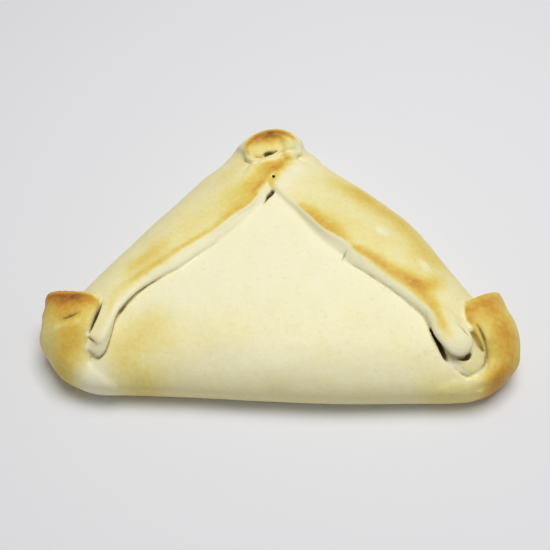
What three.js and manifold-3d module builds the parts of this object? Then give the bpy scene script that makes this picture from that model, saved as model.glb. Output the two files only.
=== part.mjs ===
// A baked empanada, as one closed solid. A disc of dough is folded in half over its filling, which
// leaves the straight fold at the front. Both halves of the round edge are then folded in over the
// top as double-ply flaps, and the three tips are folded over last: one on each front corner and
// one at the apex. Millimetres, +Z up, front fold towards -Y, apex towards +Y.

import * as THREE from "three";
import { mergeVertices } from "three/addons/utils/BufferGeometryUtils.js";
import Module from "manifold-3d";

const { clamp, degToRad, lerp, smoothstep } = THREE.MathUtils;

// Heights and rolls of the filled body
const WIDEST_LEVEL = 9; // height of the widest outline above the base
const UNDER_ROLL = 6; // how far the base lies inside that outline
const EDGE_ROLL = 11; // inset at which the rolled edge levels out
const SHOULDER_RISE = 8; // rise over that roll
const DOME_REACH = 36; // inset at which the dome is flat
const DOME_RISE = 7.5; // rise of the dome over its reach
const CORNER_DROP = 0.6; // share of the rise lost at the two front corners, which hold no filling
const CORNER_POWER = 3; // how late that loss sets in, from the middle out
const APEX_DROP = 0.3; // share of the rise lost at the apex
const BODY_CENTRE = new THREE.Vector2(0, -12);
const APEX_DROP_START = 10;
const APEX_END = 56;
const BODY_HALF_WIDTH = 78;
const PLAN_MIDDLE = new THREE.Vector2(0.43, -1.31); // middle of the finished plan, which is the origin

// Outline at the widest level: stretches by the way they face (degrees) and their reach from the
// origin, blended into one soft curve. A stretch may bow out about a point along it.
const OUTLINE_SOFTNESS = 3;
const OUTLINE = [
  { facing: -91.5, reach: 57.6, bow: 1.7, middle: 10, half: 60 }, // front fold
  { facing: -42, reach: 90 }, // front right
  { facing: 3, reach: 76.5 }, // right corner
  { facing: 37.6, reach: 38.6, bow: 4.6, middle: -18, half: 36 }, // right side
  { facing: 90, reach: 54 }, // apex
  { facing: 142.3, reach: 38.5 }, // left side
  { facing: 177, reach: 77 }, // left corner
  { facing: 222, reach: 85 }, // front left
].map(({ facing, reach, bow = 0, middle = 0, half = 1 }) => ({
  outward: new THREE.Vector2(Math.cos(degToRad(facing)), Math.sin(degToRad(facing))),
  reach,
  bow,
  middle,
  half,
}));

// Plies of folded dough
const BURIED = -0.8; // a ply's height where it sinks into the body at its ends
const LIP_RADIUS = 2.2; // rounding of a free edge
const LIP_SLANT = 0.35; // least slant at which a lip is stretched along its section
const LIP_SHARE = 1 / 3; // most that a lip takes up of its section
const PLY_THICKNESS = 2.2;
const LEFT_FACING = 142.3; // the way the two long sides face, in degrees
const RIGHT_FACING = 40;

// Each ply is laid on the body from its free edge, given in plan, out over the side it faces. It
// sinks into the body over the two lengths in sink, at its first and its last end. The other lists
// run along the edge, evenly spaced: height over the body at the edge (rise), gap under the edge,
// least height over the body (least), reach past the body's outline (out), level of the widest
// point (widest) and of the underside (floor), and how sharply the top falls away (fullness).
const PLIES = {
  leftUnder: {
    edge: [
      [-60.5, -48.5], [-57.6, -50.6], [-54, -48.6], [-51.6, -43.5], [-50.2, -39.5], [-45, -31.6],
      [-35.2, -22], [-19.5, -7.5], [-8.7, 3.9], [-2, 13.2], [0, 24], [0, 40],
    ],
    facing: [LEFT_FACING],
    sink: [2.5, 20],
    rise: [PLY_THICKNESS],
  },
  leftOver: {
    edge: [
      [-60, -44.6], [-58.4, -47.2], [-55.6, -47.4], [-53.4, -44], [-51.4, -39], [-46, -31],
      [-36.2, -21], [-20.3, -6.7], [-9.4, 4.8], [-2.6, 14], [1.5, 22], [5, 30], [7, 40], [7, 48],
    ],
    facing: [LEFT_FACING],
    sink: [3.5, 8],
    rise: [4.2, 4.8, 4.8, 4.6, 4.6, 4.8, 5, 5],
    gap: [2],
    least: [1.3],
    out: [1.3],
  },
  rightUnder: {
    edge: [
      [65.4, -50], [64, -53], [61, -55], [57.6, -54.6], [53.6, -50.6], [50, -44], [44.6, -37.4],
      [34.3, -27.4], [26, -20.8], [21.8, -17.6], [20.6, -15.4], [13, -8.3], [5.6, 2.2], [-2, 13.2],
      [-6, 24], [-8, 38],
    ],
    facing: [RIGHT_FACING],
    sink: [2.5, 20],
    rise: [PLY_THICKNESS],
  },
  rightOver: {
    edge: [
      [60.6, -46.4], [59.4, -49.6], [56.2, -51], [53, -49], [49.6, -42.4], [44.6, -36.4],
      [35, -26.6], [27, -20], [21.4, -14.8], [14, -7], [6.4, 3.2], [-1.2, 14.2], [-6, 26], [-8, 40],
    ],
    facing: [RIGHT_FACING],
    sink: [3.5, 14],
    rise: [4.6, 5, 4.8, 4.8, 4.8, 4.4, 3],
    gap: [2],
    least: [1.3],
    out: [1.3],
  },
  leftTip: {
    edge: [[-52, -56], [-58, -51.4], [-59.8, -47], [-59, -41], [-58, -35], [-57, -28.7]],
    facing: [255, 232, 210, 190, 172, 161],
    sink: [16, 0],
    rise: [1, 1.8, 3.2, 5, 5.2, 5],
    gap: [0, 0, 0.6, 3, 3, 3],
    least: [0.6],
    fullness: [1.4, 1.6],
    out: [0, 0.6, 1, 1.6, 5, 9],
    widest: [9, 9, 9, 9, 10, 12],
    floor: [1, 1, 1, 1, 3, 5],
  },
  rightTip: {
    edge: [[53, -58.5], [60, -56], [65, -51], [65, -46], [62.4, -40], [59.8, -33.5]],
    facing: [-76, -52, -28, -4, 18, 34],
    sink: [16, 0],
    rise: [1, 1.8, 3.2, 5, 5.6, 6],
    gap: [0, 0, 0.6, 3, 3, 3],
    least: [0.6],
    fullness: [1.4, 1.6],
    out: [0, 0.6, 1, 1.4, 4, 7.5],
    widest: [9, 9, 9, 9, 10, 12],
    floor: [1, 1, 1, 1, 3, 5],
  },
  apexTip: {
    edge: [[-14.5, 40], [-12.4, 35.4], [-9, 34], [-4, 35.2], [2, 36.8], [6, 38.8], [9.5, 43]],
    facing: [122, 110, 98, 84, 70, 58],
    sink: [3, 5],
    rise: [3, 5.5, 7, 7, 5.5, 3],
    gap: [0, 1.5, 2, 2, 1.5, 0],
    least: [1],
    out: [1, 2.6, 4, 4, 2.6, 0.6],
  },
};
const PLY_DEFAULTS = {
  gap: [0.3],
  least: [0.4],
  out: [0.4],
  widest: [WIDEST_LEVEL],
  floor: [1],
  fullness: [1.33],
};

// Open gaps between the plies: tapered grooves along a path, by their greatest width and depth
const SEAMS = {
  besideRightTongue: {
    path: [[47.8, -40.6, 21.4], [50, -45.6, 20.2], [52, -49.8, 18.8], [55.4, -53.4, 16.8]],
    width: 3,
    depth: 3.4,
  },
  belowRightTongue: {
    path: [[54.6, -51.4, 19.4], [58, -50.6, 19.2], [60.6, -47.6, 19.8]],
    width: 1.6,
    depth: 2.4,
  },
  besideLeftTongue: {
    path: [[-52.2, -42.4, 21], [-51.1, -38.9, 22], [-48.5, -35.4, 22.6], [-44.4, -30.4, 23.2]],
    width: 1.4,
    depth: 2.2,
  },
  besideLeftTip: {
    path: [[-56.6, -29, 23], [-57.8, -35.4, 22.4], [-59, -42, 21.2]],
    width: 1.6,
    depth: 2.6,
  },
  belowApexTip: {
    path: [[-7.5, 31.4, 24.2], [-2.5, 33.4, 24.2], [2, 36, 23.6]],
    width: 1.6,
    depth: 2.6,
  },
  whereFlapsMeet: {
    path: [[-0.8, 15, 25.6], [-2.6, 11.6, 24.8], [-5.5, 7.5, 24.4]],
    width: 1.6,
    depth: 2,
  },
};

// Fineness of the facets
const BODY_SIDES = 96;
const UNDER_STEPS = 3;
const ROLL_STEPS = 6;
const DOME_STEPS = 6;
const PLY_SPACING = 2.4; // length of a ply's edge to one section
const LIP_STEPS = 5;
const SPAN_STEPS = 9;
const SEAM_STEPS = 10;
const SEAM_SIDES = 8;
const SEAM_END = 0.15; // share of its size that a seam keeps at its ends
const SEARCH_STEPS = 40; // halvings in the search for the outline

const CRUST_MATERIAL = new THREE.MeshStandardMaterial({ color: 0xe0cd8c, roughness: 0.6, metalness: 0 });
CRUST_MATERIAL.name = "crust";

// How far a plan point lies inside the outline
function inset(x, y) {
  let sum = 0;
  for (const { outward, reach, bow, middle, half } of OUTLINE) {
    const across = x * outward.x + y * outward.y;
    const along = (y * outward.x - x * outward.y - middle) / half;
    const bowed = reach + (bow / 2) * (1 + Math.cos(Math.PI * clamp(along, -1, 1)));
    sum += Math.exp((across - bowed) / OUTLINE_SOFTNESS);
  }
  return -OUTLINE_SOFTNESS * Math.log(sum);
}

// Height of the filled body's top
function bodyHeight(x, y) {
  const depth = Math.max(0, inset(x, y));
  const roll = Math.min(depth / EDGE_ROLL, 1);
  const dome = Math.min(depth / DOME_REACH, 1);
  const corner = CORNER_DROP * Math.min(1, Math.abs(x) / BODY_HALF_WIDTH) ** CORNER_POWER;
  const apex = APEX_DROP * smoothstep(y, APEX_DROP_START, APEX_END);
  const rise = SHOULDER_RISE * Math.sqrt(roll * (2 - roll)) + DOME_RISE * dome * (2 - dome);
  return WIDEST_LEVEL + rise * (1 - corner - apex);
}

// Distance from a plan point to the outline, along a direction
function distanceToOutline(from, direction) {
  let inside = 0;
  let outside = 2 * BODY_HALF_WIDTH;
  for (let i = 0; i < SEARCH_STEPS; i += 1) {
    const middle = (inside + outside) / 2;
    if (inset(from.x + direction.x * middle, from.y + direction.y * middle) > 0) inside = middle;
    else outside = middle;
  }
  return inside;
}

// Value at a share of the way along a list of evenly spaced values
function along(values, share) {
  const place = share * (values.length - 1);
  const index = Math.floor(place);
  const next = values[Math.min(index + 1, values.length - 1)];
  return lerp(values[index], next, smoothstep(place - index, 0, 1));
}

// Closed solid skinned over a row of rings with equal counts of points, with a fan at each end
function ringSolid(rings) {
  const count = rings[0].length;
  const positions = rings.flatMap((ring) => ring.flatMap((point) => point.toArray()));
  const index = [];
  for (let row = 0; row + 1 < rings.length; row += 1) {
    for (let i = 0; i < count; i += 1) {
      const a = row * count + i;
      const b = row * count + ((i + 1) % count);
      index.push(a, b, b + count, a, b + count, a + count);
    }
  }
  for (const [row, turned] of [[0, true], [rings.length - 1, false]]) {
    const centre = new THREE.Vector3();
    rings[row].forEach((point) => centre.addScaledVector(point, 1 / count));
    const hub = positions.push(...centre.toArray()) / 3 - 1;
    for (let i = 0; i < count; i += 1) {
      const a = row * count + i;
      const b = row * count + ((i + 1) % count);
      index.push(...(turned ? [b, a, hub] : [a, b, hub]));
    }
  }
  const geometry = new THREE.BufferGeometry();
  geometry.setAttribute("position", new THREE.Float32BufferAttribute(positions, 3));
  geometry.setIndex(index);
  return geometry;
}

// The filled body: flat base, rolled edge, domed top
function body() {
  const directions = Array.from({ length: BODY_SIDES }, (_, i) => {
    const turn = (2 * Math.PI * i) / BODY_SIDES;
    return new THREE.Vector2(Math.cos(turn), Math.sin(turn));
  });
  const reaches = directions.map((direction) => distanceToOutline(BODY_CENTRE, direction));
  const ring = (distance, level) => directions.map((direction, i) => {
    const x = BODY_CENTRE.x + direction.x * distance(reaches[i]);
    const y = BODY_CENTRE.y + direction.y * distance(reaches[i]);
    return new THREE.Vector3(x, y, level ?? bodyHeight(x, y));
  });
  const rings = [];
  for (let i = 0; i <= UNDER_STEPS; i += 1) {
    const turn = (Math.PI / 2) * (i / UNDER_STEPS);
    const shrink = UNDER_ROLL * (1 - Math.sin(turn));
    rings.push(ring((reach) => reach - shrink, WIDEST_LEVEL * (1 - Math.cos(turn))));
  }
  for (let i = 1; i <= ROLL_STEPS; i += 1) {
    const shrink = EDGE_ROLL * (1 - Math.cos((Math.PI / 2) * (i / ROLL_STEPS)));
    rings.push(ring((reach) => reach - shrink));
  }
  for (let i = 1; i < DOME_STEPS; i += 1) {
    rings.push(ring((reach) => (reach - EDGE_ROLL) * (1 - i / DOME_STEPS)));
  }
  return ringSolid(rings);
}

// One section of a ply: from its hidden foot round the lip of the free edge, over the top to the
// widest point and back underneath. A ply that isn't proud lies just under the body's surface.
function plySection(start, tangent, direction, { proud, rise, gap, least, out, widest, floor, fullness }) {
  const reach = distanceToOutline(start, direction);
  const slant = Math.max(LIP_SLANT, Math.abs(tangent.x * direction.y - tangent.y * direction.x));
  const lip = Math.min(LIP_RADIUS / slant, reach * LIP_SHARE);
  const outer = reach + lerp(BURIED, out, proud);
  const points = [];
  const planX = (q) => start.x + direction.x * q;
  const planY = (q) => start.y + direction.y * q;
  const top = (q) => bodyHeight(planX(q), planY(q));
  const place = (q, z) => points.push(new THREE.Vector3(planX(q), planY(q), z));
  place(lip, widest);
  place(lip, top(lip) + BURIED);
  for (let i = 0; i <= LIP_STEPS; i += 1) {
    const turn = Math.PI * (i / LIP_STEPS - 0.5);
    const q = lip * (1 - Math.cos(turn));
    place(q, top(q) + lerp(BURIED, lerp(gap, rise, (1 + Math.sin(turn)) / 2), proud));
  }
  const ridge = top(lip) + rise;
  for (let i = 1; i <= SPAN_STEPS; i += 1) {
    const turn = (Math.PI / 2) * (i / SPAN_STEPS);
    const q = lerp(lip, outer, Math.sin(turn));
    const free = lerp(widest, ridge, Math.cos(turn) ** fullness);
    const covering = q < reach ? top(q) + least : free;
    place(q, lerp(top(q) + BURIED, Math.max(free, covering), proud));
  }
  for (let i = 1; i <= UNDER_STEPS; i += 1) {
    const turn = (Math.PI / 2) * (i / UNDER_STEPS);
    place(outer - UNDER_ROLL * (1 - Math.cos(turn)), lerp(widest, floor, Math.sin(turn)));
  }
  return points;
}

// Share by which a ply stands proud at a length from one of its ends
function emerged(length, sink) {
  return sink > 0 ? smoothstep(length, 0, sink) : 1;
}

// A ply of dough laid over the body
function ply({ edge, facing, sink, ...lists }) {
  const curve = new THREE.CatmullRomCurve3(edge.map(([x, y]) => new THREE.Vector3(x, y, 0)));
  const length = curve.getLength();
  const sections = Math.ceil(length / PLY_SPACING);
  const rings = [];
  for (let i = 0; i <= sections; i += 1) {
    const share = i / sections;
    const turn = degToRad(along(facing, share));
    const shape = { proud: emerged(share * length, sink[0]) * emerged((1 - share) * length, sink[1]) };
    for (const [name, values] of Object.entries({ ...PLY_DEFAULTS, ...lists })) {
      shape[name] = along(values, share);
    }
    const direction = new THREE.Vector2(Math.cos(turn), Math.sin(turn));
    rings.push(plySection(curve.getPointAt(share), curve.getTangentAt(share), direction, shape));
  }
  return ringSolid(rings);
}

// The hollow of a seam: an upright oval that tapers towards both ends of its path
function seam({ path, width, depth }) {
  const curve = new THREE.CatmullRomCurve3(path.map((point) => new THREE.Vector3(...point)));
  const rings = [];
  for (let i = 0; i <= SEAM_STEPS; i += 1) {
    const share = i / SEAM_STEPS;
    const middle = curve.getPointAt(share);
    const tangent = curve.getTangentAt(share);
    const across = new THREE.Vector3(tangent.y, -tangent.x, 0).normalize();
    const taper = lerp(SEAM_END, 1, Math.sin(Math.PI * share));
    const ring = Array.from({ length: SEAM_SIDES }, (_, side) => {
      const turn = (2 * Math.PI * side) / SEAM_SIDES;
      const point = middle.clone().addScaledVector(across, (taper * width * Math.cos(turn)) / 2);
      point.z += taper * depth * Math.sin(turn);
      return point;
    });
    rings.push(ring);
  }
  return ringSolid(rings);
}

const wasm = await Module();
wasm.setup();

// Closed body for the boolean kernel, turned outside out if its rings ran the other way round
function toSolid(geometry) {
  const welded = mergeVertices(geometry);
  const build = (triVerts) => new wasm.Manifold(new wasm.Mesh({
    numProp: 3,
    vertProperties: welded.attributes.position.array,
    triVerts,
  }));
  const triangles = Uint32Array.from(welded.index.array);
  const solid = build(triangles);
  return solid.volume() > 0 ? solid : build(triangles.reverse());
}

function toGeometry(solid) {
  const { vertProperties, triVerts } = solid.getMesh();
  const geometry = new THREE.BufferGeometry();
  geometry.setAttribute("position", new THREE.Float32BufferAttribute(vertProperties, 3));
  geometry.setIndex(Array.from(triVerts));
  geometry.computeVertexNormals();
  return geometry;
}

// The whole piece. Pockets sealed in between the plies are dough, so only the outer skin is kept.
function empanada() {
  const dough = [body(), ...Object.values(PLIES).map(ply)].map(toSolid);
  const hollows = Object.values(SEAMS).map(seam).map(toSolid);
  const folded = dough.reduce((sum, solid) => sum.add(solid));
  const whole = hollows.reduce((rest, hollow) => rest.subtract(hollow), folded);
  const skins = whole.decompose().sort((one, other) => other.volume() - one.volume());
  const geometry = toGeometry(skins[0]).translate(-PLAN_MIDDLE.x, -PLAN_MIDDLE.y, 0);
  const mesh = new THREE.Mesh(geometry, CRUST_MATERIAL);
  mesh.name = "empanada";
  return mesh;
}

const part = new THREE.Group();
part.name = "part";
part.add(empanada());

export default part;
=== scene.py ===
import math

import bpy
import numpy as np
import openvdb
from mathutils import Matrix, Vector


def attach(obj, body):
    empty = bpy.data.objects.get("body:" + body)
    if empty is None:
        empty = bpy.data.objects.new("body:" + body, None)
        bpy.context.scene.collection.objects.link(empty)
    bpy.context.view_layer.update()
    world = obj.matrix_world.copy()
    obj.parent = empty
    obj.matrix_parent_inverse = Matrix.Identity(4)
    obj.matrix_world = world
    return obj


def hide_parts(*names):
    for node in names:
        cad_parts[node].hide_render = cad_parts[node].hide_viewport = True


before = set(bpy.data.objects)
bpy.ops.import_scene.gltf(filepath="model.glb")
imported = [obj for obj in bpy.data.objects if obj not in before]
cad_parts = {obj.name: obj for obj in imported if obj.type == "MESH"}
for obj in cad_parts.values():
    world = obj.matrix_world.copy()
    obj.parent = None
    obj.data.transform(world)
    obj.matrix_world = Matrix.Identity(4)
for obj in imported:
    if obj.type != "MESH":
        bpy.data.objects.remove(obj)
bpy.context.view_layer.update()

# The empanada is drawn in millimetres, front fold towards -Y and apex towards +Y, and scaled to
# metres when its mesh is made. PLAN_MIDDLE is the point of the drawing that is the part's origin.
MM = 0.001
PLAN_MIDDLE = (0.43, -1.31)

# Heights and rolls of the filled body
WIDEST_LEVEL = 9.0
UNDER_ROLL = 6.0
EDGE_ROLL = 15.0
EDGE_ROLL_POWER = 2.6
SHOULDER_RISE = 8.0
DOME_REACH = 36.0
DOME_RISE = 7.5
CORNER_DROP = 0.6
CORNER_POWER = 3
APEX_DROP = 0.3
APEX_DROP_START = 10.0
APEX_END = 56.0
BODY_HALF_WIDTH = 78.0
BODY_CENTRE = (0.0, -12.0)

# The way the two side folds face, in degrees
LEFT_FACING = 142.3
RIGHT_FACING = 40.0

# Outline at the widest level: the way each stretch faces (degrees), its reach from the origin, and
# how far it bows out, about which point along it and over which half length
OUTLINE_SOFTNESS = 3.0
OUTLINE = {
    "front fold": (-91.5, 57.6, 1.7, 10.0, 60.0),
    "front right": (-42.0, 90.0, 0.0, 0.0, 1.0),
    "right corner": (3.0, 76.5, 0.0, 0.0, 1.0),
    "right side": (37.6, 37.2, 5.4, -18.0, 46.0),
    "apex": (90.0, 51.5, 0.0, 0.0, 1.0),
    "left side": (LEFT_FACING, 38.5, 0.0, 0.0, 1.0),
    "left corner": (177.0, 77.0, 0.0, 0.0, 1.0),
    "front left": (222.0, 85.0, 0.0, 0.0, 1.0),
}

# Plies of folded dough. Each is laid on the body from its free edge, given in plan, out over the
# side it faces, and sinks into the body over the two lengths in sink. The other lists run along
# the edge, evenly spaced: height over the body at the edge (rise), gap under the edge, radius of
# the lip, least height over the body, reach past the outline (out), level of the widest point and
# of the underside (floor), how sharply the top falls away (fullness), and how blunt the lip's nose
# is, from a wedge at a half to round at one (nose).
BURIED = -0.8
LIP_SLANT = 0.35
LIP_SHARE = 0.42
PLY_THICKNESS = 2.2
PLY_FLOOR = 1.0
PLY_DEFAULTS = {
    "gap": [0.3],
    "lip": [2.2],
    "least": [0.4],
    "out": [0.4],
    "widest": [WIDEST_LEVEL],
    "floor": [PLY_FLOOR],
    "fullness": [1.33],
    "nose": [1.0],
}
PLIES = {
    "left under": {
        "edge": [
            (-57.9, -47.6), (-56.3, -49.6), (-54, -48), (-52.3, -42.9), (-51.6, -38.3), (-49.6, -33.4),
            (-44.6, -26.2), (-40, -21.6), (-28, -12.4), (-21, -6), (-13, 2.4), (-7.6, 9), (-3.6, 15),
            (0, 24), (0, 40),
        ],
        "facing": [LEFT_FACING],
        "sink": (2.5, 20.0),
        "rise": [PLY_THICKNESS],
        "gap": [0.3, 0.3, -0.5, -1.5, -1.5],
        "nose": [1, 1, 0.6, 0.5, 0.5],
    },
    "left over": {
        "edge": [
            (-57.8, -43.2), (-57.3, -45.3), (-56.3, -46.5), (-55.2, -46.3), (-53.8, -45),
            (-52.4, -41.6), (-51.3, -37.9), (-48.4, -32.6), (-43.2, -26.6), (-38.2, -22.9),
            (-33, -19.8), (-25.9, -14), (-19, -7.6), (-11.2, 1), (-6, 7.4), (-1.9, 14.2), (1.7, 22),
            (5, 30), (7, 40), (7, 48),
        ],
        "facing": [LEFT_FACING],
        "sink": (2.5, 8.0),
        "rise": [4, 4, 3.6, 3.4, 3.2, 2.8, 2.8, 3.4, 3.6],
        "gap": [1.4, 0, -2.6, -3.4, -3.4, -3, -3],
        "lip": [2.4, 3.4, 4.8, 5.4, 5.6, 5.2, 3.6, 2.6],
        "nose": [1, 0.8, 0.6, 0.5, 0.5],
        "least": [1.3],
        "out": [1, 1.6, 2.4, 3.2, 3.2, 1.4, 0],
        "floor": [PLY_FLOOR] * 6 + [4],
    },
    "right under": {
        "edge": [
            (68, -45), (67.4, -49), (65.8, -52.6), (63, -54.9), (59.4, -55.6), (56.2, -54.4),
            (53.9, -52), (52.5, -49.2), (51.3, -45), (48.4, -39.6), (42.6, -33.4), (35.2, -26.6),
            (26.8, -20.2), (22.6, -17), (21, -15), (13.6, -7.6), (6.2, 2.9), (-1.6, 13.7), (-6, 24),
            (-8, 38),
        ],
        "facing": [RIGHT_FACING],
        "sink": (2.5, 20.0),
        "rise": [0.3, 0.6, 1.6, 1.3, 0.9, 0.8],
        "gap": [0.2, -0.4, -1.4, -1.6, -1.6],
        "lip": [2.2, 2.2, 3, 3, 3],
        "nose": [1, 0.8, 0.5, 0.5, 0.5],
    },
    "right over": {
        "edge": [
            (65, -37), (61, -41.4), (57, -45), (53.8, -46.8), (51.4, -46.4), (49.9, -44.2),
            (48.2, -41.1), (44.9, -35.8), (34.4, -26.6), (26.4, -20), (22.6, -17), (21.4, -14.6),
            (13.9, -6.6), (6.3, 3.6), (-1.5, 14.4), (-6, 26), (-8, 40),
        ],
        "facing": [RIGHT_FACING],
        "sink": (2.5, 18.0),
        "rise": [3, 3.4, 3.4, 3.4, 3.4, 2.6, 1.6, 1.4, 1.4],
        "gap": [-0.6, -2, -3, -3, -3],
        "lip": [2.4, 2.4, 2.8, 4.4, 5, 4, 1.9, 1.6, 1.6, 1.8, 2],
        "nose": [1, 0.8, 0.5, 0.5, 0.5],
        "least": [1.3],
        "out": [1.3, 1.3, 1.3, 1.3, 1, 0.4, 0],
    },
    "left tip": {
        "edge": [
            (-51.8, -56.4), (-54.7, -54.8), (-57.7, -52.4), (-59.2, -50.4), (-59.5, -48.6),
            (-59.3, -46.1), (-58.7, -43.3), (-57.7, -39.8), (-56.8, -36.4), (-56, -32.9),
            (-55.4, -28.9),
        ],
        "facing": [255, 232, 210, 190, 174, 171],
        "sink": (16.0, 0.0),
        "rise": [0.4, 1.4, 3.6, 5.6, 6, 4.6],
        "gap": [-2, -2, -1.6, -1.6, -1, 0],
        "lip": [5, 4.6, 3, 2.4, 2.2, 2.2],
        "nose": [0.5, 0.5, 0.6, 0.8, 1, 1],
        "least": [0.6],
        "fullness": [1, 1, 1, 1.1, 0.8, 0.5],
        "out": [1, 1.5, 1.8, 2, 1.6, 2.6, 5, 7.4],
        "widest": [WIDEST_LEVEL] * 4 + [10, 12],
        "floor": [PLY_FLOOR] * 4 + [3, 6],
    },
    "right tip": {
        "edge": [
            (50, -58), (53, -57.2), (56.4, -56), (59.4, -55.2), (61.8, -54.5), (63.9, -53),
            (65.3, -51), (65.6, -48.8), (64.4, -46.8), (62.4, -44.6), (60.3, -41.4), (59, -37.6),
            (59.4, -31.6),
        ],
        "facing": [-110, -84, -56, -28, -4, 18, 30],
        "sink": (14.0, 0.0),
        "rise": [0, 0.5, 1.8, 3.2, 5, 6, 5.2],
        "gap": [-2, -2, -2, -1.6, -1.6, -1.6, -1],
        "lip": [6, 6, 4.6, 3.4, 2.6, 2.2, 2.2],
        "nose": [0.7, 0.7, 0.7, 0.8, 1],
        "least": [0.6],
        "fullness": [1, 1, 1, 1.1, 1.1, 1, 0.9],
        "out": [0, 0, -0.4, 0.2, 1.6, 5.4, 7.6],
        "widest": [WIDEST_LEVEL] * 5 + [10, 12],
        "floor": [PLY_FLOOR] * 5 + [3, 6],
    },
    "apex tip": {
        "edge": [
            (-12.6, 36), (-11.6, 32), (-9.4, 28.8), (-6.6, 30.7), (-3.8, 31.3), (-1, 32), (1.4, 33.7),
            (3.8, 33.6), (6.4, 34.6), (8.4, 37), (9, 40),
        ],
        "facing": [128, 116, 104, 96, 92, 88, 80, 68],
        "sink": (5.0, 5.0),
        "rise": [3, 7.2, 9, 9.6, 9.8, 9.2, 6.6, 2.2],
        "gap": [0],
        "lip": [3, 6, 8.6, 8.6, 8.2, 6, 3, 2.2],
        "least": [1.0],
        "out": [0.2, 0.6, 1, 1, 0.6, 0.2],
        "fullness": [2.4],
    },
}

# Rolls of dough: a path in plan, over which lengths its two ends are rounded off, and along it the
# width, the half height and how far the middle of the roll stands over the body, evenly spaced
ROLLS = {
    "right tongue": (
        [(47, -34.2), (50.5, -39.2), (53.4, -43.6), (56.4, -47), (58.8, -50)],
        (10.0, 5.0),
        [4.4, 7.6, 9.4, 10.6, 10.8],
        [2, 2.3, 2.5, 2.6, 2.6],
        [1.8, 2.3, 2.5, 2.8, 2.9],
    ),
    "hood lip": (
        [(-11.4, 31.4), (-10.6, 29.4), (-8.8, 28.2), (-6.2, 28.4), (-3.4, 29.4), (0.4, 30.8)],
        (3.0, 4.0),
        [1.6],
        [1],
        [6, 5, 4, 3.2, 3, 3.2],
    ),
    "right flap top": (
        [(2.6, 30.6), (5, 32.4), (7.6, 34.6)],
        (2.0, 2.5),
        [1.4],
        [0.5],
        [4.2, 3.9, 3.6],
    ),
}

# Open gaps and grooves between the plies, with shade painted dark inside: a path, and the width and depth
# along it
SEAMS = {
    "beside right tongue": (
        [
            (47.8, -40.8, 20), (49.8, -44.6, 19), (51.2, -47.8, 18.2), (52.4, -50.4, 17.6),
            (53.6, -52.2, 17.2),
        ],
        [0.8, 1.5, 1.7, 1.6, 0.6],
        [1.3, 2.2, 2, 1.4, 0.5],
    ),
    "below right tongue": (
        [
            (54.8, -49.4, 17.6), (56.1, -50, 17.2), (57.7, -50, 17), (59.2, -49.3, 17),
            (60.4, -47.8, 17.4),
        ],
        [0.4, 0.8, 1.2, 1.6, 1],
        [0.4, 0.9, 1.3, 1.8, 1.2],
    ),
    "right fold line": (
        [
            (55, -52.6), (55.9, -53.4), (57.3, -54.1), (59.4, -54.6), (61.6, -53.9), (63.4, -52.3),
            (64.8, -50.4), (65, -48.6),
        ],
        [0.5, 0.7, 0.8, 0.8, 0.7, 0.6, 0.5],
        [0.3, 0.5, 0.6, 0.6, 0.6, 0.5, 0.3],
    ),
    "right tip crease": (
        [(62.1, -40.5), (63.3, -42.4), (64.3, -44.7), (65.1, -47), (65.3, -48.6), (65.1, -50.1)],
        [0.5, 0.9, 1, 1, 0.8, 0.5],
        [0.3, 0.6, 0.7, 0.7, 0.5, 0.3],
    ),
    "inside right tip": ([(56.3, -41.5), (57.5, -43), (58.9, -45)], [0.4, 0.5, 0.4], [0.2, 0.4, 0.2]),
    "beside left tongue": (
        [
            (-43.1, -25.5, 21.2), (-46.7, -29.2, 21.5), (-49.6, -32.7, 21), (-50.9, -35, 21),
            (-51.8, -37.1, 21),
        ],
        [0.2, 0.3, 0.7, 1.3, 0.7],
        [0.3, 0.5, 1, 1.6, 0.8],
    ),
    "beside left tip": (
        [
            (-56, -31.6, 23.4), (-56.7, -35.2, 23), (-57.4, -38, 22.6), (-58.2, -40.6, 22.2),
            (-59.2, -43.6, 21.4),
        ],
        [0.4, 0.8, 1, 0.8, 0.4],
        [0.6, 1.4, 1.8, 1.6, 0.6],
    ),
    "left tip crease": ([(-69.2, -38.6), (-65.6, -38), (-62.4, -37)], [0.4, 0.8, 0.5], [0.3, 0.7, 0.3]),
    "below apex tip": (
        [
            (-6.6, 29.9, 25.2), (-4.9, 31, 24.9), (-3.9, 31.8, 24.6), (-2.9, 32.3, 24.6),
            (-1.7, 32.8, 24.7), (0, 33.6, 24.8),
        ],
        [0.5, 0.9, 1.9, 2.1, 1.1, 0.5],
        [0.5, 0.8, 2, 2.2, 1, 0.5],
    ),
    "where flaps meet": (
        [(-1.6, 14.3, 24), (-2.1, 13.4, 23.8), (-3.5, 11.4, 23.6), (-5, 8, 23.8)],
        [1.3, 1.4, 0.6, 0.3],
        [1.4, 1.5, 0.7, 0.4],
    ),
    "right flap notch": ([(21, -16.8), (21.6, -15.4), (22.4, -13.8)], [0.4, 0.6, 0.4], [0.3, 0.5, 0.3]),
    "pinhole": ([(-1.4, 18.3, 27.3), (-1.7, 21.6, 23.4)], [1.3], [0.95]),
}

# Open hollows, as pale inside as around: the ply that each is pressed into, its path, and the width
# and depth along it
HOLLOWS = {
    "apex dish": (
        "apex tip",
        [(-9.8, 30.2, 28.4), (-4, 31.8, 28.8), (4.6, 33.8, 28)],
        [8, 13, 14, 13, 8],
        [2, 3.8, 4.2, 3.8, 2],
    ),
    "left fold hollow": (
        "left over",
        [(-5.2, 25.8, 26.1), (-7, 21, 26.5), (-9.2, 16.4, 26.9)],
        [2.5, 4.5, 4, 2.5],
        [0.7, 1.3, 1.1, 0.7],
    ),
}
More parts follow.
